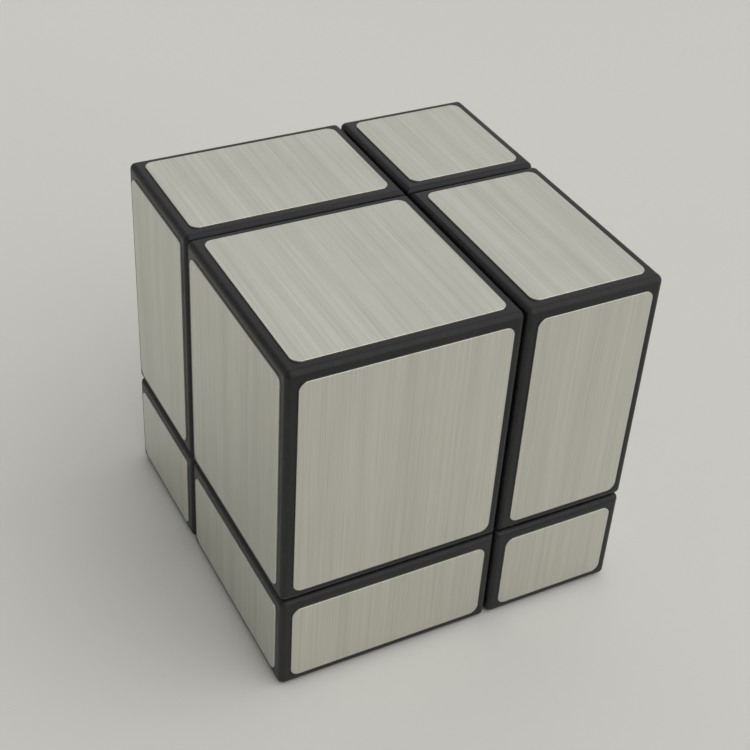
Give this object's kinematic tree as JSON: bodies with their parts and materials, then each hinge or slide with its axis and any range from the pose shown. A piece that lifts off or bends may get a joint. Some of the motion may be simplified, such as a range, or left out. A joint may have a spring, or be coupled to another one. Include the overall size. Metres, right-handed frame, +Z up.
{
  "type": "mirror block cube",
  "caption": "Cube puzzle cut once along each axis into corner blocks of unequal size with brushed silver faces, which turn in layers about a hidden core.",
  "frame": {"origin": "middle of the bottom face of the solved cube, which rests on it", "axes": "+Z up through the top layer, -Y out of the front face, +X out of the right face"},
  "size_m": [0.05, 0.05, 0.05],
  "materials": {
    "black_plastic": "semi-gloss moulded ABS",
    "inner_plastic": "satin moulded ABS",
    "nylon": "natural moulded nylon",
    "steel": "zinc plated steel",
    "foil": "fine brushed silver foil"
  },
  "bodies": {
    "bottom_back_left": {"core": "nylon", "screws": "steel", "springs": "steel", "washers": "steel", "center_bottom": "inner_plastic", "center_back": "inner_plastic", "center_left": "inner_plastic", "edge_bottom_back": "inner_plastic", "edge_bottom_left": "inner_plastic", "edge_back_left": "inner_plastic", "base_bottom_back_left": "black_plastic", "cap_bottom_back_left": "black_plastic", "stickers_bottom_back_left": "foil"},
    "top_back_left": {"center_top": "inner_plastic", "edge_top_back": "inner_plastic", "edge_top_left": "inner_plastic", "base_top_back_left": "black_plastic", "cap_top_back_left": "black_plastic", "stickers_top_back_left": "foil"},
    "bottom_front_left": {"center_front": "inner_plastic", "edge_bottom_front": "inner_plastic", "edge_front_left": "inner_plastic", "base_bottom_front_left": "black_plastic", "cap_bottom_front_left": "black_plastic", "stickers_bottom_front_left": "foil"},
    "bottom_back_right": {"center_right": "inner_plastic", "edge_bottom_right": "inner_plastic", "edge_back_right": "inner_plastic", "base_bottom_back_right": "black_plastic", "cap_bottom_back_right": "black_plastic", "stickers_bottom_back_right": "foil"},
    "top_front_left": {"edge_top_front": "inner_plastic", "base_top_front_left": "black_plastic", "cap_top_front_left": "black_plastic", "stickers_top_front_left": "foil"},
    "top_back_right": {"edge_top_right": "inner_plastic", "base_top_back_right": "black_plastic", "cap_top_back_right": "black_plastic", "stickers_top_back_right": "foil"},
    "bottom_front_right": {"edge_front_right": "inner_plastic", "base_bottom_front_right": "black_plastic", "cap_bottom_front_right": "black_plastic", "stickers_bottom_front_right": "foil"},
    "top_front_right": {"base_top_front_right": "black_plastic", "cap_top_front_right": "black_plastic", "stickers_top_front_right": "foil"}
  },
  "joints": [
    {"name": "top_turn", "type": "hinge", "parent": "bottom_back_left", "child": "top_back_left", "pos_m": [0.0055, 0.0045, 0.015], "axis": [0, 0, 1], "continuous": true},
    {"name": "front_turn", "type": "hinge", "parent": "bottom_back_left", "child": "bottom_front_left", "pos_m": [0.0055, 0.0045, 0.015], "axis": [0, -1, 0], "range_deg": [-360, 360]},
    {"name": "right_turn", "type": "hinge", "parent": "bottom_back_left", "child": "bottom_back_right", "pos_m": [0.0055, 0.0045, 0.015], "axis": [1, 0, 0], "range_deg": [-360, 360]},
    {"name": "top_front_left_turn", "type": "hinge", "parent": "bottom_front_left", "child": "top_front_left", "pos_m": [0.0055, 0.0045, 0.015], "axis": [0, 0, 1], "continuous": true},
    {"name": "top_back_right_turn", "type": "hinge", "parent": "bottom_back_right", "child": "top_back_right", "pos_m": [0.0055, 0.0045, 0.015], "axis": [0, 0, 1], "continuous": true},
    {"name": "bottom_front_right_turn", "type": "hinge", "parent": "bottom_back_right", "child": "bottom_front_right", "pos_m": [0.0055, 0.0045, 0.015], "axis": [0, -1, 0], "range_deg": [-360, 360]},
    {"name": "top_front_right_turn", "type": "hinge", "parent": "bottom_front_right", "child": "top_front_right", "pos_m": [0.0055, 0.0045, 0.015], "axis": [0, 0, 1], "continuous": true}
  ],
  "couplings": [
    {"joint": "top_front_left_turn", "follows": "top_turn", "ratio": 1},
    {"joint": "top_back_right_turn", "follows": "top_turn", "ratio": 1},
    {"joint": "top_front_right_turn", "follows": "top_turn", "ratio": 1},
    {"joint": "bottom_front_right_turn", "follows": "front_turn", "ratio": 1}
  ]
}
